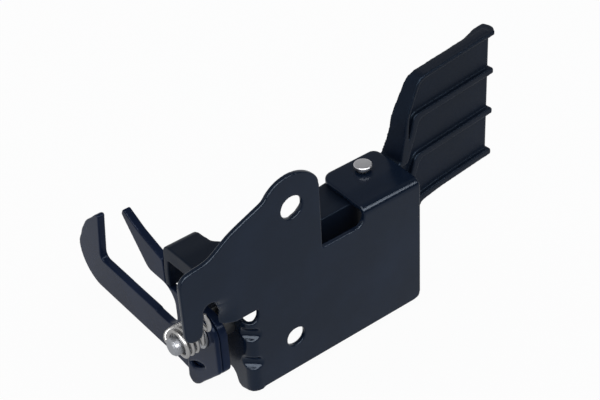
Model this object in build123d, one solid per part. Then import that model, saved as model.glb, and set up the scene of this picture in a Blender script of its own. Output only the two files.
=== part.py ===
"""Bonnet latch striker: bracket, sprung catch hook and release lever.

Millimetres, +Z up, +X right along the mounting plate, +Y away from its seat
face. The origin is the centre of the lower bolt hole on the seat face.
"""
import math
import os

from build123d import *

# Sheet of the bracket
SHEET = 2.0
PLATE_BOTTOM = -15.0
PLATE_RIGHT = 58.5
PLATE_CORNER_R = 2.5
SLOPE_TOP = (-18.7, 60.9)
SLOPE_FOOT = (-42.4, 51.3)

# Bolt holes
LOWER_HOLE_R = 3.9
UPPER_HOLE_R = 4.5
UPPER_HOLE = (1.7, 57.2)
EAR_R = 13.4
EAR_RIGHT = 13.5
EAR_ROOT_R = 5.0
EAR_SHOULDER_R = 7.0

# Notch between the ear and the top flange
NOTCH_FLOOR = 33.4
NOTCH_CORNER_R = 3.6

# Top flange that carries the lever
TOP_FLANGE_LEFT = 32.5
TOP_FLANGE_TOP = 40.3
TOP_FLANGE_DEPTH = 24.5
TOP_BEND_R = 3.0
TOP_FLANGE_LEFT_R = 5.0
TOP_FLANGE_RIGHT_R = 3.0

# Tongue, slot and stop tab at the left
TONGUE_LEFT = -44.8
TONGUE_TIP = 22.5
SLOT_LEFT = -36.9
SLOT_RIGHT = -30.8
SLOT_TOP = 35.4
SLOT_R = (SLOT_RIGHT - SLOT_LEFT) / 2
TAB_BOTTOM = 21.6
TAB_ROOT = -22.6
TAB_STRAIGHT_TOP = 27.0
TAB_BEND_R = 8.0
TAB_FLAT_R = 2000.0
TAB_BLEND_TOP = SLOT_TOP - SLOT_R - 0.05

# Relief hole above the pivot flange
RELIEF_LEFT = -21.8
RELIEF_RIGHT = -15.0
RELIEF_DEPTH = 3.6

# Pivot flange, bent back on the lower left
PIVOT_BEND_X = -16.2
PIVOT_BEND_R = 4.0
PIVOT_FLANGE_DEPTH = 26.5
PIVOT_FLANGE_TOP = 21.6
PIVOT_FLANGE_BACK_LOW = -2.0
PIVOT_FLANGE_BACK_R = 6.0
PIVOT_FLANGE_HEEL_Y = 16.0

# Pressed gussets across that bend
GUSSET_HEIGHTS = (12.4, -1.0)
GUSSET_R = 2.6
GUSSET_CHORD = -14.7
GUSSET_SPAN = 8.0

# Hook pivot: the axis runs along X through this point
PIVOT_Y = 13.5
PIVOT_Z = 11.6

# Catch hook, one pressed plate
HOOK_SHEET = 3.2
HOOK_LEFT = -29.5
HOOK_RIGHT = HOOK_LEFT + HOOK_SHEET
HOOK_FRONT = 3.3
HOOK_SHOULDER = 20.6
HOOK_BACK = 18.1
DOUBLER_SHEET = 2.0

# Stud, bush, washer and spring on the hook axis
STUD_R = 3.4
STUD_END = -43.6
STUD_CHAMFER = 0.8
STUD_SHOULDER_R = 5.4
STUD_FIT = 0.05
STUD_NECK_R = 3.0
STUD_RIVET_R = 4.6
STUD_RIVET_HEIGHT = 1.4
SHOULDER_GAP = 0.2
BUSH_WALL = 1.0
WASHER_R = 5.6
WASHER_THICK = 0.9
WIRE_R = 0.75
COIL_R = 5.1
COIL_PITCH = 2.1
COIL_FIRST = -40.9
COIL_TURNS = 3.5
SPRING_HOLE_Y = 21.8
SPRING_HOLE_Z = 11.4
SPRING_SEAT_GAP = 0.1

# Lever pivot: the axis runs along Z through this point
LEVER_X = 47.0
LEVER_Y = 18.0
LEVER_TOP = 37.9
LEVER_PIN_NECK_R = 1.95
LEVER_PIN_FIT = 0.06
LEVER_PIN_R = 3.5
LEVER_PIN_HEAD_R = 3.4
LEVER_PIN_HEAD_TOP = 43.8
LEVER_PIN_HEAD = 2.0
LEVER_PIN_TAIL = 1.6
LEVER_PIN_TAIL_R = 4.2
HUB_R = 7.0
HUB_BOTTOM = 5.0
HUB_FACE_GAP = 0.2
TAIL_WASHER_R = 5.8
TAIL_WASHER_THICK = 1.2

# Lever arm: a channel open downwards, its left end over the hook
ARM_ROOF = 2.2
ARM_DEPTH = 13.0
ARM_WALL = 2.2
ARM_END = -29.6
END_LIP = 2.4
END_LIP_DEPTH = 6.6
PUSH_FACE = 36.0
PUSH_WALL = 2.8
PUSH_GAP = 0.45
PUSH_BOTTOM = 18.5
PUSH_TOP_R = 4.2
PAD_RIGHT = -16.7
PAD_FRONT = 10.0
STOP_NUB_X = -8.0
STOP_NUB_R = 3.0

# Handle of the lever, drawn in its own upright plane
HANDLE_X = 59.0
HANDLE_Y = 13.6
HANDLE_TURN_DEG = 6.0
HANDLE_LENGTH = 51.6
HANDLE_TOP = 71.3
HANDLE_TOP_LEFT = 70.3
HANDLE_WEB = 2.6
HANDLE_RIM = 1.6
RIM_FOOT = 3.6
RIM_FOOT_R = 1.6
RIM_DEPTH_BASE = 10.8
RIM_DEPTH_TOP = 5.5
RIM_END = 56.0
RIM_END_DEPTH = 7.2
RIM_END_R = 3.4
RIB_LOW = 16.6
RIB_END = 53.0
RIB_PITCH = 18.1
RIB_HEIGHT = 2.8
RIB_STAND = 1.8


def face(corners):
    """Closed face from (u, v, corner radius) triples, rounded as arcs."""
    spots = [Vector(u, v) for u, v, radius in corners]
    count = len(corners)
    entries = []
    exits = []
    edges = []
    for i, (u, v, radius) in enumerate(corners):
        here = spots[i]
        if radius == 0:
            entries.append(here)
            exits.append(here)
            continue
        back = (spots[i - 1] - here).normalized()
        ahead = (spots[(i + 1) % count] - here).normalized()
        half = math.radians(back.get_angle(ahead)) / 2
        reach = radius / math.tan(half)
        middle = here + (back + ahead).normalized() * (radius / math.sin(half) - radius)
        entries.append(here + back * reach)
        exits.append(here + ahead * reach)
        edges.append(ThreePointArc(entries[i], middle, exits[i]))
    for i in range(count):
        if (exits[i - 1] - entries[i]).length > 1e-6:
            edges.append(Line(exits[i - 1], entries[i]))
    return make_face(edges)


def upright(y):
    """Plane facing -Y: u runs along X, v along Z."""
    return Plane((0, y, 0), x_dir=(1, 0, 0), z_dir=(0, -1, 0))


def sideways(x):
    """Plane facing +X: u runs along Y, v along Z."""
    return Plane((x, 0, 0), x_dir=(0, 1, 0), z_dir=(1, 0, 0))


def rod_x(y, z, radius, left, right):
    """Round bar along X."""
    return extrude(sideways(left) * Pos(y, z) * Circle(radius), amount=right - left)


def rod_z(x, y, radius, low, high):
    """Round bar along Z."""
    return extrude(Plane((x, y, low)) * Circle(radius), amount=high - low)


def quarter_ring(outer):
    """Section of a bend in the quadrant u < 0, v < 0."""
    ring = Circle(outer) - Circle(outer - SHEET)
    return ring & Rectangle(outer, outer, align=(Align.MAX, Align.MAX))


def main_plate():
    """Flat plate with ear, notch, tongue and slot."""
    rise = (SLOPE_TOP[1] - SLOPE_FOOT[1]) / (SLOPE_TOP[0] - SLOPE_FOOT[0])
    inner_x = SLOPE_TOP[0] + EAR_R
    corners = [
        (PIVOT_BEND_X, PLATE_BOTTOM, 0),
        (PLATE_RIGHT, PLATE_BOTTOM, PLATE_CORNER_R),
        (PLATE_RIGHT, TOP_FLANGE_TOP - TOP_BEND_R, 0),
        (TOP_FLANGE_LEFT, TOP_FLANGE_TOP - TOP_BEND_R, 0),
        (TOP_FLANGE_LEFT, NOTCH_FLOOR, NOTCH_CORNER_R),
        (EAR_RIGHT, NOTCH_FLOOR, 0.8),
        (EAR_RIGHT, UPPER_HOLE[1], 0),
        (UPPER_HOLE[0], UPPER_HOLE[1], 0),
        (inner_x, SLOPE_TOP[1] + rise * EAR_R, 0),
        (TONGUE_LEFT, SLOPE_FOOT[1] + rise * (TONGUE_LEFT - SLOPE_FOOT[0]), 5.0),
        (TONGUE_LEFT, TONGUE_TIP, 3.6),
        (SLOT_LEFT - 1.2, TONGUE_TIP, 2.4),
        (SLOT_LEFT, SLOT_TOP - 4.4, 0),
        (SLOT_LEFT, SLOT_TOP, SLOT_R - 0.01),
        (SLOT_RIGHT, SLOT_TOP, SLOT_R - 0.01),
        (SLOT_RIGHT, TAB_BLEND_TOP, 0),
        (TAB_ROOT, TAB_BLEND_TOP, 0),
        (TAB_ROOT, TAB_BOTTOM, 0),
        (PIVOT_BEND_X, TAB_BOTTOM, 0),
    ]
    sheet = face(corners)
    ear = Pos(*UPPER_HOLE) * Circle(EAR_R)
    right_of_ear = Pos(EAR_RIGHT, UPPER_HOLE[1]) * Rectangle(
        EAR_R, 3 * EAR_R, align=(Align.MIN, Align.CENTER))
    sheet = sheet + (ear - right_of_ear)
    root = sheet.vertices().sort_by_distance((UPPER_HOLE[0] - EAR_R, SLOPE_TOP[1] + 3.0, 0))[0]
    sheet = fillet(root, EAR_ROOT_R)
    top_right = (EAR_RIGHT, UPPER_HOLE[1] + math.sqrt(EAR_R**2 - (EAR_RIGHT - UPPER_HOLE[0])**2), 0)
    shoulder = sheet.vertices().sort_by_distance(top_right)[0]
    sheet = fillet(shoulder, EAR_SHOULDER_R)
    sheet = sheet - Circle(LOWER_HOLE_R) - Pos(*UPPER_HOLE) * Circle(UPPER_HOLE_R)
    return extrude(upright(SHEET) * sheet, amount=SHEET)


def tab_section(z, radius):
    """Section of the stop tab bent back to a radius, keeping its length."""
    turn = (TAB_ROOT - SLOT_RIGHT) / radius
    centre = Vector(TAB_ROOT, radius)
    inner = radius - SHEET

    def spot(r, angle):
        return centre + Vector(-r * math.sin(angle), -r * math.cos(angle))

    edges = [
        ThreePointArc(spot(radius, 0), spot(radius, turn / 2), spot(radius, turn)),
        Line(spot(radius, turn), spot(inner, turn)),
        ThreePointArc(spot(inner, turn), spot(inner, turn / 2), spot(inner, 0)),
        Line(spot(inner, 0), spot(radius, 0)),
    ]
    return Plane((0, 0, z)) * make_face(edges)


def stop_tab():
    """Tab under the slot, bent back over the hook as its stop."""
    bent = extrude(tab_section(TAB_BOTTOM, TAB_BEND_R), amount=TAB_STRAIGHT_TOP - TAB_BOTTOM)
    blend = loft([tab_section(TAB_STRAIGHT_TOP, TAB_BEND_R), tab_section(TAB_BLEND_TOP, TAB_FLAT_R)])
    return bent + blend


def top_flange():
    """Flange bent back from the top edge, with the lever pivot hole."""
    bend_z = TOP_FLANGE_TOP - TOP_BEND_R
    width = PLATE_RIGHT - TOP_FLANGE_LEFT
    section = Pos(TOP_BEND_R, bend_z) * mirror(quarter_ring(TOP_BEND_R), about=Plane.XZ)
    bend = extrude(sideways(TOP_FLANGE_LEFT) * section, amount=width)
    flat = face([
        (TOP_FLANGE_LEFT, TOP_BEND_R, 0),
        (PLATE_RIGHT, TOP_BEND_R, 0),
        (PLATE_RIGHT, TOP_FLANGE_DEPTH, TOP_FLANGE_RIGHT_R),
        (TOP_FLANGE_LEFT, TOP_FLANGE_DEPTH, TOP_FLANGE_LEFT_R),
    ])
    flat = extrude(Plane((0, 0, TOP_FLANGE_TOP - SHEET)) * flat, amount=SHEET)
    hole = rod_z(LEVER_X, LEVER_Y, LEVER_PIN_NECK_R + LEVER_PIN_FIT, TOP_FLANGE_TOP - 2 * SHEET,
                 TOP_FLANGE_TOP + SHEET)
    return bend + flat - hole


def gusset_rod(height, radius):
    """Round bar laid diagonally across the lower left bend."""
    reach = GUSSET_CHORD - GUSSET_R * math.sqrt(2)
    start = Plane((reach - GUSSET_SPAN, GUSSET_SPAN, height), z_dir=(1, -1, 0))
    return extrude(start * Circle(radius), amount=GUSSET_SPAN * 2 * math.sqrt(2))


def pivot_flange():
    """Flange bent back on the left, with two pressed gussets."""
    outer_x = PIVOT_BEND_X - PIVOT_BEND_R
    section = Pos(PIVOT_BEND_X, PIVOT_BEND_R) * quarter_ring(PIVOT_BEND_R)
    bend = extrude(Plane((0, 0, PLATE_BOTTOM)) * section, amount=PIVOT_FLANGE_TOP - PLATE_BOTTOM)
    flat = face([
        (PIVOT_BEND_R, PLATE_BOTTOM, 0),
        (PIVOT_FLANGE_HEEL_Y, PLATE_BOTTOM, 7.0),
        (PIVOT_FLANGE_DEPTH, PIVOT_FLANGE_BACK_LOW, PIVOT_FLANGE_BACK_R),
        (PIVOT_FLANGE_DEPTH, PIVOT_FLANGE_TOP, PIVOT_FLANGE_BACK_R),
        (PIVOT_BEND_R, PIVOT_FLANGE_TOP, 0),
    ])
    return bend + extrude(sideways(outer_x) * flat, amount=SHEET)


def mounting_bracket():
    """Pressed bracket: plate, ear, tongue, tab, two flanges and gussets."""
    body = main_plate() + stop_tab() + top_flange() + pivot_flange()
    corner = Pos(PIVOT_BEND_X - PIVOT_BEND_R / 2, SHEET / 2, 0) * Box(
        20, 20, 100, align=(Align.MIN, Align.MIN, Align.CENTER))
    for height in GUSSET_HEIGHTS:
        body = body + (gusset_rod(height, GUSSET_R + SHEET) & corner)
        body = body - gusset_rod(height, GUSSET_R)
    relief = face([
        (RELIEF_LEFT, TAB_BOTTOM + 0.3, 0),
        (RELIEF_LEFT, TAB_BOTTOM - RELIEF_DEPTH, 3.2),
        (RELIEF_RIGHT, TAB_BOTTOM - RELIEF_DEPTH, 3.2),
        (RELIEF_RIGHT, TAB_BOTTOM + 0.3, 0),
    ])
    body = body - extrude(upright(PIVOT_BEND_R + 2.5) * relief, amount=PIVOT_BEND_R + 5)
    return body - rod_x(PIVOT_Y, PIVOT_Z, STUD_NECK_R, -25, -10)


def catch_hook():
    """Hook plate: finger, barb and open mouth, turning on the stud."""
    edge = PUSH_FACE + PUSH_GAP
    corners = [
        (HOOK_FRONT, HOOK_SHOULDER, 8.0),
        (HOOK_FRONT, -1.3, 4.0),
        (18.4, -16.6, 6.0),
        (30.0, -16.0, 0),
        (100.4, -16.2, 13.0),
        (100.3, 0.2, 9.0),
        (91.0, 14.4, 25.0),
        (80.6, 24.6, 0.8),
        (84.6, -0.4, 2.6),
        (46.6, -0.6, 0.5),
        (45.6, -1.2, 0.5),
        (31.3, -1.2, 7.6),
        (31.3, 18.3, 7.6),
        (47.6, 18.4, 5.0),
        (61.8, 35.2, 0.8),
        (60.4, 38.0, 0.8),
        (51.0, 33.5, 14.0),
        (edge, 29.2, 0.8),
        (edge, HOOK_BACK, 1.0),
        (30.0, HOOK_BACK + 0.2, 6.0),
        (21.0, HOOK_SHOULDER + 0.6, 4.0),
    ]
    plate = extrude(sideways(HOOK_LEFT) * face(corners), amount=HOOK_SHEET)
    plate = plate - rod_x(PIVOT_Y, PIVOT_Z, STUD_R + STUD_FIT + BUSH_WALL, -40, 0)
    return plate - rod_x(SPRING_HOLE_Y, SPRING_HOLE_Z, WIRE_R + 0.15, -40, 0)


def hook_doubler():
    """Second sheet on the hook around the pivot, with a crescent slot."""
    corners = [
        (HOOK_FRONT, HOOK_SHOULDER, 8.0),
        (HOOK_FRONT, -1.3, 4.0),
        (18.2, -16.8, 5.0),
        (22.6, -18.9, 2.4),
        (25.1, -16.6, 1.8),
        (24.3, -4.0, 10.0),
        (25.6, 18.0, 6.0),
        (20.0, HOOK_SHOULDER + 0.6, 3.0),
    ]
    sheet = extrude(sideways(HOOK_LEFT - DOUBLER_SHEET) * face(corners), amount=DOUBLER_SHEET)
    upper = ThreePointArc((12.4, -4.0), (18.9, -6.2), (22.9, -9.4))
    lower = ThreePointArc((20.4, -10.0), (16.2, -7.3), (12.4, -4.0))
    tail = Line((22.9, -9.4), (20.4, -10.0))
    slot = make_face([upper, tail, lower])
    sheet = sheet - extrude(sideways(HOOK_LEFT - 2 * DOUBLER_SHEET) * slot, amount=2 * DOUBLER_SHEET)
    sheet = sheet - rod_x(PIVOT_Y, PIVOT_Z, STUD_R + STUD_FIT + BUSH_WALL, -40, 0)
    return sheet - rod_x(SPRING_HOLE_Y, SPRING_HOLE_Z, WIRE_R + 0.15, -40, 0)


def hook_bush():
    """Plain bush pressed through hook and doubler."""
    left = HOOK_LEFT - DOUBLER_SHEET
    outer = rod_x(PIVOT_Y, PIVOT_Z, STUD_R + STUD_FIT + BUSH_WALL, left, HOOK_RIGHT)
    return outer - rod_x(PIVOT_Y, PIVOT_Z, STUD_R + STUD_FIT, left - 1, HOOK_RIGHT + 1)


def pivot_stud():
    """Shouldered stud riveted into the pivot flange."""
    outer_x = PIVOT_BEND_X - PIVOT_BEND_R
    inner_x = outer_x + SHEET
    shank = rod_x(PIVOT_Y, PIVOT_Z, STUD_R, STUD_END, outer_x)
    shank = chamfer(shank.edges().sort_by(Axis.X)[0], STUD_CHAMFER)
    shoulder = rod_x(PIVOT_Y, PIVOT_Z, STUD_SHOULDER_R, HOOK_RIGHT + SHOULDER_GAP, outer_x)
    neck = rod_x(PIVOT_Y, PIVOT_Z, STUD_NECK_R, outer_x - 1, inner_x + 0.2)
    rivet = rod_x(PIVOT_Y, PIVOT_Z, STUD_RIVET_R, inner_x, inner_x + STUD_RIVET_HEIGHT)
    rivet = fillet(rivet.edges().sort_by(Axis.X)[-1], 1.0)
    return shank + shoulder + neck + rivet


def hook_washer():
    """Washer pressed on the stud, keeping the hook on it."""
    right = HOOK_LEFT - DOUBLER_SHEET - SHOULDER_GAP
    ring = rod_x(PIVOT_Y, PIVOT_Z, WASHER_R, right - WASHER_THICK, right)
    return ring - rod_x(PIVOT_Y, PIVOT_Z, STUD_R, right - 3, right + 3)


def return_spring():
    """Torsion spring: coils on the stud, one leg round the tongue, one into the hook."""
    last_x = COIL_FIRST + COIL_PITCH * COIL_TURNS
    coil = Plane((COIL_FIRST, PIVOT_Y, PIVOT_Z), x_dir=(0, 1, 0), z_dir=(1, 0, 0)) * Helix(
        pitch=COIL_PITCH, height=COIL_PITCH * COIL_TURNS, radius=COIL_R)
    start = coil @ 0
    end = coil @ 1
    front = Spline(
        end,
        (last_x + 0.2, end.Y + 0.05, end.Z + 4.0),
        (last_x + 0.2, end.Y - 0.2, end.Z + 7.0),
        (last_x - 0.2, end.Y - 2.0, end.Z + 9.4),
        (last_x - 0.9, end.Y - 5.4, end.Z + 10.6),
        (last_x - 1.2, end.Y - 7.4, end.Z + 13.0),
        (last_x - 1.6, end.Y - 7.2, end.Z + 16.4),
        (SLOT_LEFT + WIRE_R + SPRING_SEAT_GAP, end.Y - 7.0, end.Z + 19.4),
        tangents=[coil % 1, (0, 0.3, 1)],
    )
    back = Spline(
        (HOOK_RIGHT - 0.4, SPRING_HOLE_Y, SPRING_HOLE_Z),
        (HOOK_LEFT - 4.0, SPRING_HOLE_Y, SPRING_HOLE_Z),
        (COIL_FIRST + 2.6, SPRING_HOLE_Y, SPRING_HOLE_Z),
        (COIL_FIRST + 0.5, SPRING_HOLE_Y - 0.3, SPRING_HOLE_Z - 1.0),
        (COIL_FIRST - 0.1, SPRING_HOLE_Y - 1.6, SPRING_HOLE_Z - 2.6),
        start,
        tangents=[(-1, 0, 0), coil % 0],
    )
    wire = Wire([back.edge(), coil.edge(), front.edge()])
    return sweep(Plane(wire @ 0, z_dir=wire % 0) * Circle(WIRE_R), path=wire, is_frenet=True)


def arm_plan():
    """Plan of the lever's arm from the pad to the handle."""
    return face([
        (20.0, 8.0, 14.0),
        (36.0, 8.2, 12.0),
        (50.0, 11.2, 6.0),
        (61.0, 13.8, 0),
        (60.0, 24.4, 0),
        (36.0, 24.4, 20.0),
        (-12.6, 20.6, 3.2),
        (-16.0, 24.4, 3.0),
        (PAD_RIGHT, PUSH_FACE, 2.4),
        (ARM_END, PUSH_FACE, 0),
        (ARM_END, PAD_FRONT, 0),
        (-6.0, PAD_FRONT, 12.0),
    ])


def arm():
    """Hollow arm: roof, walls round its edge and the end lip."""
    plan = arm_plan()
    roof = extrude(Plane((0, 0, LEVER_TOP - ARM_ROOF)) * plan, amount=ARM_ROOF)
    rim = plan - offset(plan, amount=-ARM_WALL)
    end_zone = Pos(ARM_END, 0) * Rectangle(END_LIP, 100, align=(Align.MIN, Align.CENTER))
    walls = extrude(Plane((0, 0, LEVER_TOP - ARM_DEPTH)) * (rim - end_zone), amount=ARM_DEPTH)
    lip = extrude(Plane((0, 0, LEVER_TOP - END_LIP_DEPTH)) * (plan & end_zone), amount=END_LIP_DEPTH)
    push = Pos(ARM_END, PUSH_FACE, PUSH_BOTTOM) * Box(
        PAD_RIGHT - ARM_END - 2.0, PUSH_WALL, LEVER_TOP - PUSH_BOTTOM, align=(Align.MIN, Align.MAX, Align.MIN))
    body = roof + walls + lip + push
    outside = Pos(ARM_END - 1, PUSH_FACE, LEVER_TOP) * Box(60, PUSH_TOP_R, PUSH_TOP_R,
                                                          align=(Align.MIN, Align.MAX, Align.MAX))
    round_bar = rod_x(PUSH_FACE - PUSH_TOP_R, LEVER_TOP - PUSH_TOP_R, PUSH_TOP_R, ARM_END - 1, ARM_END + 60)
    return body - (outside - round_bar)


def release_lever():
    """Moulded lever: hollow arm with a push wall, tall hub and ribbed handle."""
    nub = extrude(Plane((STOP_NUB_X, SHEET + HUB_FACE_GAP, LEVER_TOP - ARM_DEPTH / 2), z_dir=(0, 1, 0))
                  * Circle(STOP_NUB_R), amount=PAD_FRONT - SHEET)
    hub = rod_z(LEVER_X, LEVER_Y, HUB_R, HUB_BOTTOM, LEVER_TOP + HUB_FACE_GAP)
    body = arm() + nub + handle() + hub
    return body - rod_z(LEVER_X, LEVER_Y, LEVER_PIN_R, HUB_BOTTOM - 5, LEVER_TOP + 5)


def handle_plane(depth):
    """Upright plane of the handle, a depth behind its front edge."""
    turn = math.radians(HANDLE_TURN_DEG)
    origin = Vector(HANDLE_X, HANDLE_Y) + Vector(-math.sin(turn), math.cos(turn)) * depth
    return Plane(origin, x_dir=(math.cos(turn), math.sin(turn), 0),
                 z_dir=(math.sin(turn), -math.cos(turn), 0))


def slab(outline, near, far):
    """Outline of the handle made solid between two depths."""
    return extrude(handle_plane(far) * outline, amount=far - near)


def rib_outline(low):
    """Rib of the handle: level run with its left end turned down."""
    return face([
        (RIB_END, low, 0.6),
        (RIB_END, low + RIB_HEIGHT, 1.4),
        (10.6, low + RIB_HEIGHT, 3.5),
        (3.6, low - 16.5, 0),
        (6.4, low - 16.5, 0),
        (13.2, low, 3.5),
    ])


def upper_edge(inset, foot, end):
    """Corners of the handle's upper edge, set in, with its foot moved right."""
    return [
        (end, HANDLE_TOP - inset, 0.4),
        (13.3 + 0.7 * inset, HANDLE_TOP_LEFT - inset, 5.5 - inset / 2),
        (5.7 + inset, 53.3, 20.0),
        (2.4 + foot, LEVER_TOP - inset, RIM_FOOT_R),
    ]


def handle():
    """Web, curved rim with a rounded end, and three nested ribs."""
    web = face([
        (-12.0, HUB_BOTTOM, 0),
        (7.8, HUB_BOTTOM, 2.0),
        (14.2, RIB_LOW - 1.2, 4.0),
        (HANDLE_LENGTH, RIB_LOW, 0),
        *upper_edge(0, 0, HANDLE_LENGTH),
        (-12.0, LEVER_TOP, 0),
    ])
    outer = face([(-12.0, RIB_LOW, 0), (RIM_END, RIB_LOW, 0), *upper_edge(0, 0, RIM_END), (-12.0, LEVER_TOP, 0)])
    inner = face([
        (-13.0, RIB_LOW - 1, 0),
        (RIM_END + 1, RIB_LOW - 1, 0),
        *upper_edge(HANDLE_RIM, RIM_FOOT, RIM_END + 1),
        (-13.0, LEVER_TOP - HANDLE_RIM, 0),
    ])
    rim = slab(outer - inner, 0, RIM_DEPTH_BASE)
    depth = face([
        (-12.0, 0, 0),
        (RIB_END, 0, 1.0),
        (RIM_END, RIM_END_DEPTH / 3, RIM_END_R),
        (RIM_END - 1.0, RIM_END_DEPTH, RIM_END_R / 2),
        (RIM_END - 6.0, RIM_END_DEPTH, 6.0),
        (RIM_END - 14.0, RIM_DEPTH_TOP, 10.0),
        (14.5, RIM_DEPTH_TOP, 8.0),
        (4.6, 8.2, 4.0),
        (2.0, RIM_DEPTH_BASE, 1.5),
        (-12.0, RIM_DEPTH_BASE, 0),
    ])
    plan = Plane((HANDLE_X, HANDLE_Y, HUB_BOTTOM), x_dir=handle_plane(0).x_dir, z_dir=(0, 0, 1))
    rim = rim & extrude(plan * depth, amount=HANDLE_TOP)
    body = slab(web, RIB_STAND, RIB_STAND + HANDLE_WEB) + rim
    for i in range(3):
        rib = slab(rib_outline(RIB_LOW + i * RIB_PITCH), 0, RIB_STAND + HANDLE_WEB / 2)
        body = body + rib
    below_hub = Pos(HANDLE_X, HANDLE_Y, HUB_BOTTOM) * Box(100, 100, 50, align=(Align.CENTER, Align.CENTER, Align.MAX))
    return body - below_hub


def lever_pin():
    """Headed pin fixed in the lever's hub, its neck running in the top flange."""
    under_head = LEVER_PIN_HEAD_TOP - LEVER_PIN_HEAD
    shank_top = LEVER_TOP + HUB_FACE_GAP
    low = HUB_BOTTOM - TAIL_WASHER_THICK
    head = rod_z(LEVER_X, LEVER_Y, LEVER_PIN_HEAD_R, under_head, LEVER_PIN_HEAD_TOP)
    head = fillet(head.edges().sort_by(Axis.Z)[-1], 0.4)
    head = chamfer(head.edges().sort_by(Axis.Z)[0], 0.7)
    neck = rod_z(LEVER_X, LEVER_Y, LEVER_PIN_NECK_R, shank_top, under_head)
    shank = rod_z(LEVER_X, LEVER_Y, LEVER_PIN_R, low, shank_top)
    tail = rod_z(LEVER_X, LEVER_Y, LEVER_PIN_TAIL_R, low - LEVER_PIN_TAIL, low)
    tail = fillet(tail.edges().sort_by(Axis.Z)[0], 1.0)
    return head + neck + shank + tail


def tail_washer():
    """Washer under the hub, held by the pin's riveted tail."""
    low = HUB_BOTTOM - TAIL_WASHER_THICK
    ring = rod_z(LEVER_X, LEVER_Y, TAIL_WASHER_R, low, HUB_BOTTOM)
    return ring - rod_z(LEVER_X, LEVER_Y, LEVER_PIN_R, low - 1, HUB_BOTTOM + 1)


NODES = {
    "mounting_bracket": mounting_bracket,
    "catch_hook": catch_hook,
    "hook_doubler": hook_doubler,
    "hook_bush": hook_bush,
    "pivot_stud": pivot_stud,
    "hook_washer": hook_washer,
    "return_spring": return_spring,
    "release_lever": release_lever,
    "lever_pin": lever_pin,
    "tail_washer": tail_washer,
}

os.makedirs("parts", exist_ok=True)
for name, make in NODES.items():
    export_step(make(), os.path.join("parts", name + ".step"))
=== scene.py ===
"""Bonnet latch striker: materials, fine pieces, floor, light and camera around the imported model."""

import math

import bpy
import numpy as np
from mathutils import Matrix, Vector


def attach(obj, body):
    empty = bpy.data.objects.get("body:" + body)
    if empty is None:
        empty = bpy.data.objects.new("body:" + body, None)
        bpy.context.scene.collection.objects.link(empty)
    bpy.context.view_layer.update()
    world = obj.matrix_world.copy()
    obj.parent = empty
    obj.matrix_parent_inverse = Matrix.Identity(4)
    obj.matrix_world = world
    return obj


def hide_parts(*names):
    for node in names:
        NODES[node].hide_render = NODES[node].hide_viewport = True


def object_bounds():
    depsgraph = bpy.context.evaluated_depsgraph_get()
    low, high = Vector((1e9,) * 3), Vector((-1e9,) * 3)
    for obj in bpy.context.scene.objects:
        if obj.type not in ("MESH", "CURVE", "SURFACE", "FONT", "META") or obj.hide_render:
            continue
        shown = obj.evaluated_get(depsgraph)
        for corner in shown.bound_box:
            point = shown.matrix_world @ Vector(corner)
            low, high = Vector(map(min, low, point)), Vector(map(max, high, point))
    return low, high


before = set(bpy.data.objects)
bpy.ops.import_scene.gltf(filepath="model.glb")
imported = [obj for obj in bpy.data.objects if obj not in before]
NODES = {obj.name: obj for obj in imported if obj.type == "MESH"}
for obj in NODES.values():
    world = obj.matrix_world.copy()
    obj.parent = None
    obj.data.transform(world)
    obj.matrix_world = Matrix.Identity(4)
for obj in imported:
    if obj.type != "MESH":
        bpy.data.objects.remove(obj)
CAD_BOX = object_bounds()

MM = 0.001

# Sockets of a colour mix, which have the same name more than once
MIX_FACTOR, MIX_LOW, MIX_HIGH, MIX_RESULT = 0, 6, 7, 2

# Camera of the photograph
EYE = Vector((-225.93, -320.32, 363.77)) * MM
AZIMUTH = -35.81
ELEVATION = 37.71
ROLL = -3.61
LENS = 90.0
SENSOR = 36.0
SHIFT_UP = 0.0012

# Light of the studio
SOFT_LIGHT = 0.6
SOFT_TONE = (0.93, 0.96, 1.0, 1)
BACKDROP = 1.0
CEILING = 0.3
CEILING_LOW = 0.30
CEILING_HIGH = 0.62
FRONT = 0.06
FRONT_NEAR = 0.0
FRONT_FAR = 0.35
SOFTBOX_FROM = Vector((0.2, -0.7, 0.66)).normalized()
SOFTBOX_AWAY = 1.2
SOFTBOX_SIZE = (1.0, 0.6)
SOFTBOX_POWER = 22.0
LEFT_FROM = Vector((-0.45, -0.34, 0.83)).normalized()
LEFT_SIZE = (0.9, 1.5)
LEFT_POWER = 44.0
FLOOR_SHOWN = 0.95
FLOOR_GLOSS = 0.45
FLOOR_DROP = 0.0002
FLOOR_REACH = 3.0
FLOOR_DARK = (0.93, 0.93, 0.93, 1)
FLOOR_LIGHT = (0.96, 0.96, 0.96, 1)
VIEW_END = 20

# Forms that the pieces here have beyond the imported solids, in millimetres. A pair is a soft window:
# the form is absent at its first value and whole at its second, or the other way round.

# Bracket: sagging slope up to the ear
SLOPE_FOOT = (-42.4, 51.3)
SLOPE_RISE = 0.405
SLOPE_SAG = 2.3
SLOPE_SAG_X = -32.6
SLOPE_SAG_REACH = 6.2
SLOPE_SAG_DEPTH = 14
SLOPE_END = (-14, -10)

# Bracket: top flange, lifted and longer at its back
FLANGE_LIFT = 0.35
FLANGE_LIFT_Y = (3, 12)
FLANGE_LONGER = 0.6
FLANGE_LONGER_Y = (14, 22)
FLANGE_Z = (37, 38.2)

# Bracket: depth up to which the plate and its left corner reach
PLATE_Y = (8, 12)

# Bracket: lower gussets
GUSSET_DROP = 1.6
GUSSET_HIGH = 11.2
GUSSET_LOW = -2.2
GUSSET_REACH = 5
GUSSET_X = (-11, -8)

# Bracket: deeper relief hole
HOLE_DEEPER = 1.5
HOLE_LEFT = (-23.5, -21.5)
HOLE_RIGHT = (-15, -13)
HOLE_Y = (5, 8)
HOLE_FLOOR = (15.0, 17.4)
HOLE_TOP = (19.5, 21.6)

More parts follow.
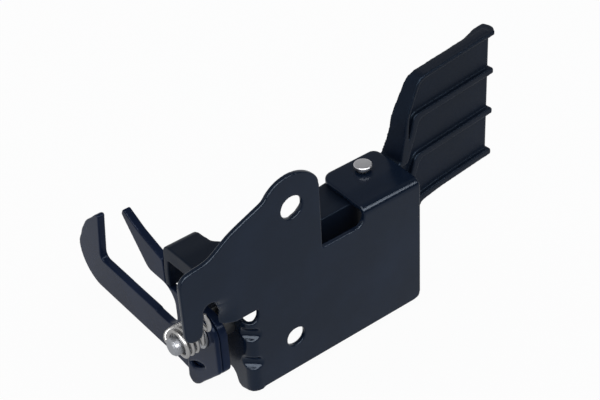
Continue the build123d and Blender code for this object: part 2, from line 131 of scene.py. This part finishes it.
# Bracket: stop tab, whose bend runs out higher up than in the solid
TAB_ROOT = -22.6
TAB_BEND = 8.0
TAB_REACH = 7.9
TAB_SOLID_FROM = 27.0
TAB_SOLID_BLEND = 5.35
TAB_BLEND = (23, 35.4)
TAB_FOOT = (21, 24)
TAB_TIP = (-31.5, -31.0)

# Bracket: stepped heel of the side flange
HEEL_Y = (0, 4, 7.3, 9.2, 9.8, 10.2, 12, 14, 17, 19, 21)
HEEL_DROP = (-0.7, -1.4, -2.5, -1.8, -0.2, 1.5, 3.4, 3.5, 2.4, 0.5, 0)
HEEL_TOP = (-13, -6)
HEEL_RIGHT = (-16.5, -14.5)

# Lever: waist of the arm behind the upper bolt
WAIST_X = (-11, -6, 0, 6, 11, 16, 20, 24, 30, 36)
WAIST_DEPTH = (0, -1.8, -4, -5.4, -5.4, -4.3, -2.2, -1, -0.5, 0)
WAIST_Y = (12.5, 16)

# Lever: lower back edge of the pad
PAD_RIGHT = (-15, -11)
PAD_Z = (24, 32)
PAD_DROP = 0.4
PAD_DROP_Y = (22, 32)
PAD_SHORTER = 0.8
PAD_SHORTER_Y = (29, 33)

# Lever: deeper foot, longer web and leaning left edge of the handle
GRIP_X = (60, 66)
GRIP_Z = (16, 28)
GRIP_DROP = 1.3
GRIP_DROP_MORE = 1.0
GRIP_DROP_MORE_X = (68, 86)
WEB_LONGER = 0.8
WEB_FROM = (107.0, 110.0)
WEB_TO = (110.6, 113.5)
LEAN = 0.9
LEAN_Z = (48, 58)
LEAN_X = (70, 80)

# Hook: lower finger, blunter tip, outer edge and fuller heel
FINGER_DROP = 0.55
FINGER_Y = (28, 42)
TIP_DROP = 1.1
TIP_FRONT = (78, 79)
TIP_BACK = (81, 85)
TIP_Z = (18, 24.5)
OUTER_MOVE = 0.8
OUTER_Y = (86, 92)
OUTER_Z = (2, 8)
FOOT_DROP = 0.9
FOOT_FRONT = (16, 22)
FOOT_BACK = (27, 36)
FOOT_TOP = (-14, -10)

# Pin: lower head
PIN_DROP = 0.6
PIN_Z = (40.6, 41.7)

# Making of the softened pieces
WELD_GAP = 1e-6
SMOOTHING = 0.5
SHARP_DEG = 30

# Rounding of the cut edges, in metres
SHEET_EDGE = 0.35 * MM
MOULD_EDGE = 0.30 * MM
METAL_EDGE = 0.15 * MM

# Colours
BRACKET_TONE = (0.0065, 0.0130, 0.0285, 1)
BRACKET_SHEEN = (0.75, 0.86, 1.0, 1)
BRACKET_IOR = 1.28
HOOK_TONE = (0.0100, 0.0175, 0.0420, 1)
HOOK_SHEEN = (0.7, 0.82, 1.0, 1)
HOOK_IOR = 1.15
LEVER_TONE = (0.0042, 0.0080, 0.0185, 1)
LEVER_SHEEN = (0.6, 0.8, 1.0, 1)
LEVER_IOR = 1.2
BRONZE = (0.5, 0.33, 0.16, 1)
STUD_TONE = (0.30, 0.31, 0.33, 1)
# Stud: black and not metallic from this place along X on, in millimetres, with a short fade
STUD_BLACK_FROM = -30.0
STUD_BLACK = (0.004, 0.006, 0.011, 1)
BLACK_FADE = 0.1
WASHER_TONE = (0.42, 0.43, 0.45, 1)
WIRE_TONE = (0.36, 0.355, 0.35, 1)
PIN_TONE = (0.5, 0.5, 0.52, 1)

# Stretch of the marks on plated pieces
TURNED_ON_X = (0.1, 1, 1)
TURNED_ON_Z = (1, 1, 0.1)
DRAWN = (0.15, 1, 1)
EVEN = (1, 1, 1)


class Value:
    """A shader socket that takes part in plain arithmetic."""

    def __init__(self, paint, socket):
        self.paint = paint
        self.socket = socket

    def math(self, operation, *inputs):
        return self.paint.node("ShaderNodeMath", {"operation": operation}, dict(enumerate(inputs)))

    def __add__(self, other):
        return self.math("ADD", self, other)

    __radd__ = __add__

    def __mul__(self, other):
        return self.math("MULTIPLY", self, other)

    __rmul__ = __mul__

    def __sub__(self, other):
        return self.math("SUBTRACT", self, other)

    def __rsub__(self, other):
        return self.math("SUBTRACT", other, self)

    def either(self, other):
        return self.math("MAXIMUM", self, other)

    def ramp(self, low, high):
        """0 below low, 1 above high."""
        return self.paint.node("ShaderNodeMapRange", {"clamp": True},
                               {"Value": self, "From Min": low, "From Max": high})


class Paint:
    """Shader nodes of one material or world."""

    def __init__(self, block, place="Object"):
        block.use_nodes = True
        self.block = block
        self.tree = block.node_tree
        self.tree.nodes.clear()
        self.place = self.node("ShaderNodeTexCoord", {}, {}, place)

    def node(self, kind, settings, inputs, output=0):
        made = self.tree.nodes.new(kind)
        for key, value in settings.items():
            setattr(made, key, value)
        for key, value in inputs.items():
            if isinstance(value, Value):
                self.tree.links.new(value.socket, made.inputs[key])
            else:
                made.inputs[key].default_value = value
        return Value(self, made.outputs[output])

    def noise(self, scale, detail=3.0, roughness=0.5, stretch=(1, 1, 1)):
        """Noise with that many features per metre, stretched along an axis by a small factor."""
        place = self.node("ShaderNodeMapping", {}, {"Vector": self.place, "Scale": stretch})
        return self.node("ShaderNodeTexNoise", {},
                         {"Vector": place, "Scale": scale, "Detail": detail, "Roughness": roughness})

    def mix(self, amount, low, high):
        """Colour between two."""
        return self.node("ShaderNodeMix", {"data_type": "RGBA"},
                         {MIX_FACTOR: amount, MIX_LOW: low, MIX_HIGH: high}, MIX_RESULT)

    def relief(self, height, strength, distance, edge, samples=6):
        """Normal of a bumpy surface whose sharp edges are rounded."""
        rounded = self.node("ShaderNodeBevel", {"samples": samples}, {"Radius": edge})
        return self.node("ShaderNodeBump", {},
                         {"Height": height, "Strength": strength, "Distance": distance, "Normal": rounded})

    def principled(self, **inputs):
        """Principled shader; names with spaces come with underscores."""
        named = {key.replace("_", " "): value for key, value in inputs.items()}
        return self.node("ShaderNodeBsdfPrincipled", {}, named)

    def glow(self, kind, colour, strength):
        return self.node(kind, {}, {"Color": colour, "Strength": strength})

    def shown(self, direct, gloss):
        """How far the white backdrop takes over, seen directly, and in a gloss or through glass."""
        seen = self.node("ShaderNodeLightPath", {}, {}, "Is Camera Ray")
        mirrored = self.node("ShaderNodeLightPath", {}, {}, "Is Glossy Ray")
        through = self.node("ShaderNodeLightPath", {}, {}, "Is Transmission Ray")
        return (seen * direct).either(mirrored.either(through) * gloss)

    def finish(self, shader, kind="ShaderNodeOutputMaterial"):
        out = self.tree.nodes.new(kind)
        self.tree.links.new(shader.socket, out.inputs["Surface"])
        return self.block


def material(name):
    return Paint(bpy.data.materials.new(name))


def shade(tone, factor):
    return tuple(c * factor for c in tone[:3]) + (1.0,)


def black_coat(name, tone, sheen, ior):
    """Blue-black electrocoat over pressed steel, with handling dust and die marks."""
    paint = material(name)
    cloud = paint.noise(scale=38, detail=4)
    speckle = paint.noise(scale=2600, detail=2, roughness=0.6)
    drag = paint.noise(scale=900, detail=3, roughness=0.6, stretch=(0.12, 1.0, 1.0))
    orange_peel = paint.noise(scale=620, detail=2)
    dust = cloud.ramp(0.45, 0.72) * 0.45 + speckle.ramp(0.62, 0.8) * 0.4
    colour = paint.mix(dust, tone, shade(tone, 1.8))
    rough = 0.15 + cloud.ramp(0.3, 0.75) * 0.06 + drag.ramp(0.55, 0.75) * 0.05
    normal = paint.relief(orange_peel + speckle * 0.2, strength=0.1, distance=0.00012, edge=SHEET_EDGE)
    return paint.finish(paint.principled(Base_Color=colour, Roughness=rough, Normal=normal, IOR=ior,
                                         Specular_Tint=sheen))


def moulding(name, tone, sheen):
    """Satin black moulding with a fine spark-eroded grain."""
    paint = material(name)
    cloud = paint.noise(scale=30, detail=3)
    grain = paint.noise(scale=5200, detail=2, roughness=0.7)
    flow = paint.noise(scale=160, detail=3, roughness=0.5, stretch=(0.35, 1.0, 1.0))
    colour = paint.mix(cloud.ramp(0.4, 0.7) * 0.5 + flow.ramp(0.5, 0.7) * 0.3, tone, shade(tone, 1.5))
    rough = 0.36 + grain * 0.08 + flow.ramp(0.45, 0.7) * 0.05
    normal = paint.relief(grain, strength=0.14, distance=0.00006, edge=MOULD_EDGE)
    return paint.finish(paint.principled(Base_Color=colour, Roughness=rough, Normal=normal, IOR=LEVER_IOR,
                                         Specular_Tint=sheen))


def plated(name, tone, roughness, stretch, black_from=None):
    """Plated metal with turning or drawing marks; black and not metallic from the given place along X on, in
    millimetres.
    """
    paint = material(name)
    marks = paint.noise(scale=2400, detail=3, roughness=0.6, stretch=stretch)
    cloud = paint.noise(scale=140, detail=4)
    colour = paint.mix(cloud.ramp(0.45, 0.75) * 0.6, tone, shade(tone, 0.7))
    rough = roughness + marks * 0.12 + cloud.ramp(0.4, 0.8) * 0.08
    normal = paint.relief(marks, strength=0.15, distance=0.00005, edge=METAL_EDGE)
    plating_shown = 1.0
    # Black and not metallic from the given place along X on
    if black_from is not None:
        along = paint.node("ShaderNodeSeparateXYZ", {}, {0: paint.place}, "X")
        plating_shown = 1.0 - along.ramp(black_from * MM, (black_from + BLACK_FADE) * MM)
        colour = paint.mix(plating_shown, STUD_BLACK, colour)
    return paint.finish(paint.principled(Base_Color=colour, Metallic=plating_shown, Roughness=rough, Normal=normal))


FINISH = {
    "mounting_bracket": black_coat("bracket_coat", BRACKET_TONE, BRACKET_SHEEN, BRACKET_IOR),
    "catch_hook": black_coat("hook_coat", HOOK_TONE, HOOK_SHEEN, HOOK_IOR),
    "hook_doubler": black_coat("doubler_coat", HOOK_TONE, HOOK_SHEEN, HOOK_IOR),
    "release_lever": moulding("lever_moulding", LEVER_TONE, LEVER_SHEEN),
    "hook_bush": plated("bush_bronze", BRONZE, 0.35, TURNED_ON_X),
    "pivot_stud": plated("stud_plating", STUD_TONE, 0.32, TURNED_ON_X, STUD_BLACK_FROM),
    "hook_washer": plated("washer_plating", WASHER_TONE, 0.3, EVEN),
    "return_spring": plated("spring_wire", WIRE_TONE, 0.3, DRAWN),
    "lever_pin": plated("lever_pin_plating", PIN_TONE, 0.25, TURNED_ON_Z),
    "tail_washer": plated("tail_washer_plating", WASHER_TONE, 0.3, EVEN),
}

for name, obj in NODES.items():
    obj.data.materials.clear()
    obj.data.materials.append(FINISH[name])


def near(value, centre, reach):
    """1 at the centre, falling off softly on both sides."""
    return np.exp(-((value - centre) / reach) ** 2)


def rise(value, low, high):
    """0 below low, 1 above high, soft between."""
    t = np.clip((value - low) / (high - low), 0, 1)
    return t * t * (3 - 2 * t)


def fall(value, low, high):
    """1 below low, 0 above high, soft between."""
    return 1 - rise(value, low, high)


def softened(node, body, move, voxel=0, rounds=0, keep=1):
    """Piece for a node: edges rounded by remeshing, if a voxel size is given, then shaped by a move.

    The voxel size and the move are in millimetres.
    """
    source = NODES[node]
    piece = bpy.data.objects.new(node + "_form", source.data.copy())
    bpy.context.scene.collection.objects.link(piece)
    bpy.context.view_layer.update()
    piece.matrix_world = source.matrix_world
    weld = piece.modifiers.new("weld", "WELD")
    weld.merge_threshold = WELD_GAP
    if voxel:
        remesh = piece.modifiers.new("remesh", "REMESH")
        remesh.mode = "VOXEL"
        remesh.voxel_size = voxel * MM
        smooth = piece.modifiers.new("smooth", "SMOOTH")
        smooth.factor = SMOOTHING
        smooth.iterations = rounds
        thin = piece.modifiers.new("thin", "DECIMATE")
        thin.ratio = keep
    ready = piece.evaluated_get(bpy.context.evaluated_depsgraph_get())
    mesh = bpy.data.meshes.new_from_object(ready)
    piece.modifiers.clear()
    piece.data = mesh
    turn = np.array(piece.matrix_world.to_3x3())
    place = np.array(piece.matrix_world.translation)
    spots = np.empty(len(mesh.vertices) * 3)
    mesh.vertices.foreach_get("co", spots)
    spots = (spots.reshape(-1, 3) @ turn.T + place) / MM
    spots = np.column_stack(move(*spots.T)) * MM
    mesh.vertices.foreach_set("co", ((spots - place) @ np.linalg.inv(turn).T).ravel())
    mesh.shade_smooth()
    if not voxel:
        mesh.set_sharp_from_angle(angle=math.radians(SHARP_DEG))
    mesh.update()
    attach(piece, body)
    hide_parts(node)
    return piece


def bracket_form(x, y, z):
    """Softer slope to the ear, deeper relief hole, lower gussets and a stepped heel of the side flange."""
    slope = SLOPE_FOOT[1] + (x - SLOPE_FOOT[0]) * SLOPE_RISE
    sag = SLOPE_SAG * near(x, SLOPE_SAG_X, SLOPE_SAG_REACH)
    z = z - sag * rise(z, slope - SLOPE_SAG_DEPTH, slope) * fall(x, *SLOPE_END)
    z = z + FLANGE_LIFT * rise(y, *FLANGE_LIFT_Y) * rise(z, *FLANGE_Z)
    y = y + FLANGE_LONGER * rise(y, *FLANGE_LONGER_Y) * rise(z, *FLANGE_Z)
    gussets = near(z, GUSSET_HIGH, GUSSET_REACH) + near(z, GUSSET_LOW, GUSSET_REACH)
    z = z - GUSSET_DROP * gussets * (fall(x, *GUSSET_X) * fall(y, *PLATE_Y))
    hole = rise(x, *HOLE_LEFT) * fall(x, *HOLE_RIGHT) * fall(y, *HOLE_Y)
    z = z - HOLE_DEEPER * rise(z, *HOLE_FLOOR) * fall(z, *HOLE_TOP) * hole
    bent = TAB_BEND - np.sqrt(TAB_BEND**2 - np.clip(TAB_ROOT - x, 0, TAB_REACH) ** 2)
    packed = 1 - np.clip((z - TAB_SOLID_FROM) / TAB_SOLID_BLEND, 0, 1)
    longer = fall(z, *TAB_BLEND)
    y = y + bent * (longer - packed) * rise(z, *TAB_FOOT) * fall(y, *PLATE_Y) * rise(x, *TAB_TIP)
    heel = np.interp(y, HEEL_Y, HEEL_DROP)
    z = z + heel * fall(z, *HEEL_TOP) * fall(x, *HEEL_RIGHT)
    return x, y, z


def lever_form(x, y, z):
    """Waisted arm behind the upper bolt, lower pad edge, deeper and longer handle."""
    y = y + np.interp(x, WAIST_X, WAIST_DEPTH) * rise(y, *WAIST_Y)
    pad = fall(x, *PAD_RIGHT)
    z = z - PAD_DROP * rise(y, *PAD_DROP_Y) * rise(z, *PAD_Z) * pad
    y = y - PAD_SHORTER * rise(y, *PAD_SHORTER_Y) * rise(z, *PAD_Z) * pad
    drop = GRIP_DROP + GRIP_DROP_MORE * fall(x, *GRIP_DROP_MORE_X)
    z = z - drop * fall(z, *GRIP_Z) * rise(x, *GRIP_X)
    x = x + WEB_LONGER * rise(x, *WEB_FROM) * fall(x, *WEB_TO)
    x = x - LEAN * rise(z, *LEAN_Z) * fall(x, *LEAN_X)
    return x, y, z


def hook_form(x, y, z):
    """Lower finger, blunter tip, outer edge moved out and fuller heel."""
    z = z - FINGER_DROP * rise(y, *FINGER_Y)
    z = z - TIP_DROP * rise(y, *TIP_FRONT) * fall(y, *TIP_BACK) * rise(z, *TIP_Z)
    y = y + OUTER_MOVE * rise(y, *OUTER_Y) * rise(z, *OUTER_Z)
    heel = rise(y, *FOOT_FRONT) * fall(y, *FOOT_BACK)
    z = z - FOOT_DROP * heel * fall(z, *FOOT_TOP)
    return x, y, z


def pin_form(x, y, z):
    """Lower head."""
    return x, y, z - PIN_DROP * rise(z, *PIN_Z)


softened("mounting_bracket", "frame", bracket_form, voxel=0.3, rounds=10, keep=0.45)
softened("release_lever", "lever", lever_form, voxel=0.3, rounds=8, keep=0.5)
softened("catch_hook", "hook", hook_form, voxel=0.25, rounds=14, keep=0.6)
softened("hook_doubler", "hook", hook_form, voxel=0.25, rounds=70, keep=0.6)
softened("lever_pin", "lever", pin_form)


def studio_world():
    """White backdrop, darker overhead and in front in reflections, and plain soft light from all round."""
    world = bpy.data.worlds.new("studio")
    bpy.context.scene.world = world
    paint = Paint(world, "Generated")
    height = paint.node("ShaderNodeSeparateXYZ", {}, {0: paint.place}, "Z")
    back = paint.node("ShaderNodeSeparateXYZ", {}, {0: paint.place}, "Y")
    seen = paint.node("ShaderNodeLightPath", {}, {}, "Is Camera Ray")
    front = (back * -1.0).ramp(FRONT_NEAR, FRONT_FAR)
    over = height.ramp(CEILING_LOW, CEILING_HIGH)
    soft = paint.glow("ShaderNodeBackground", SOFT_TONE, SOFT_LIGHT)
    tone = paint.mix(over * (1.0 - seen), (BACKDROP,) * 3 + (1,), (CEILING,) * 3 + (1,))
    tone = paint.mix(front * (1.0 - seen), tone, (FRONT,) * 3 + (1,))
    backdrop = paint.glow("ShaderNodeBackground", tone, 1.0)
    both = paint.node("ShaderNodeMixShader", {}, {0: paint.shown(1.0, 1.0), 1: soft, 2: backdrop})
    paint.finish(both, "ShaderNodeOutputWorld")


def softbox(name, direction, size, power):
    """Rectangular lamp aimed at the origin, which only glosses show."""
    data = bpy.data.lights.new(name, "AREA")
    data.shape = "RECTANGLE"
    data.size, data.size_y = size
    data.energy = power
    obj = bpy.data.objects.new(name, data)
    bpy.context.scene.collection.objects.link(obj)
    obj.location = direction * SOFTBOX_AWAY
    obj.rotation_euler = direction.to_track_quat("Z", "Y").to_euler()
    obj.visible_diffuse = False


def floor():
    """Pale floor just under the lowest point; it looks white and keeps a soft shadow."""
    low = CAD_BOX[0][2] - FLOOR_DROP
    reach = FLOOR_REACH
    mesh = bpy.data.meshes.new("floor")
    mesh.from_pydata([(-reach, -reach, low), (reach, -reach, low), (reach, reach, low), (-reach, reach, low)],
                     [], [(0, 1, 2, 3)])
    obj = bpy.data.objects.new("floor", mesh)
    bpy.context.scene.collection.objects.link(obj)
    paint = material("floor_white")
    colour = paint.mix(paint.noise(scale=40, detail=2), FLOOR_DARK, FLOOR_LIGHT)
    paper = paint.principled(Base_Color=colour, Roughness=0.9)
    white = paint.glow("ShaderNodeEmission", (1, 1, 1, 1), 1.0)
    taken = paint.shown(FLOOR_SHOWN, FLOOR_GLOSS)
    both = paint.node("ShaderNodeMixShader", {}, {0: taken, 1: paper, 2: white})
    obj.data.materials.append(paint.finish(both))


def camera():
    data = bpy.data.cameras.new("camera")
    data.lens = LENS
    data.sensor_width = SENSOR
    data.shift_y = SHIFT_UP
    data.clip_end = VIEW_END
    obj = bpy.data.objects.new("camera", data)
    bpy.context.scene.collection.objects.link(obj)
    turn = Matrix.Rotation(math.radians(AZIMUTH), 3, "Z")
    tilt = Matrix.Rotation(math.radians(90 - ELEVATION), 3, "X")
    roll = Matrix.Rotation(math.radians(ROLL), 3, "Z")
    obj.matrix_world = Matrix.Translation(EYE) @ (turn @ tilt @ roll).to_4x4()
    bpy.context.scene.camera = obj


studio_world()
floor()
softbox("high_softbox", SOFTBOX_FROM, SOFTBOX_SIZE, SOFTBOX_POWER)
softbox("left_softbox", LEFT_FROM, LEFT_SIZE, LEFT_POWER)
camera()
bpy.context.scene.view_settings.view_transform = "Standard"
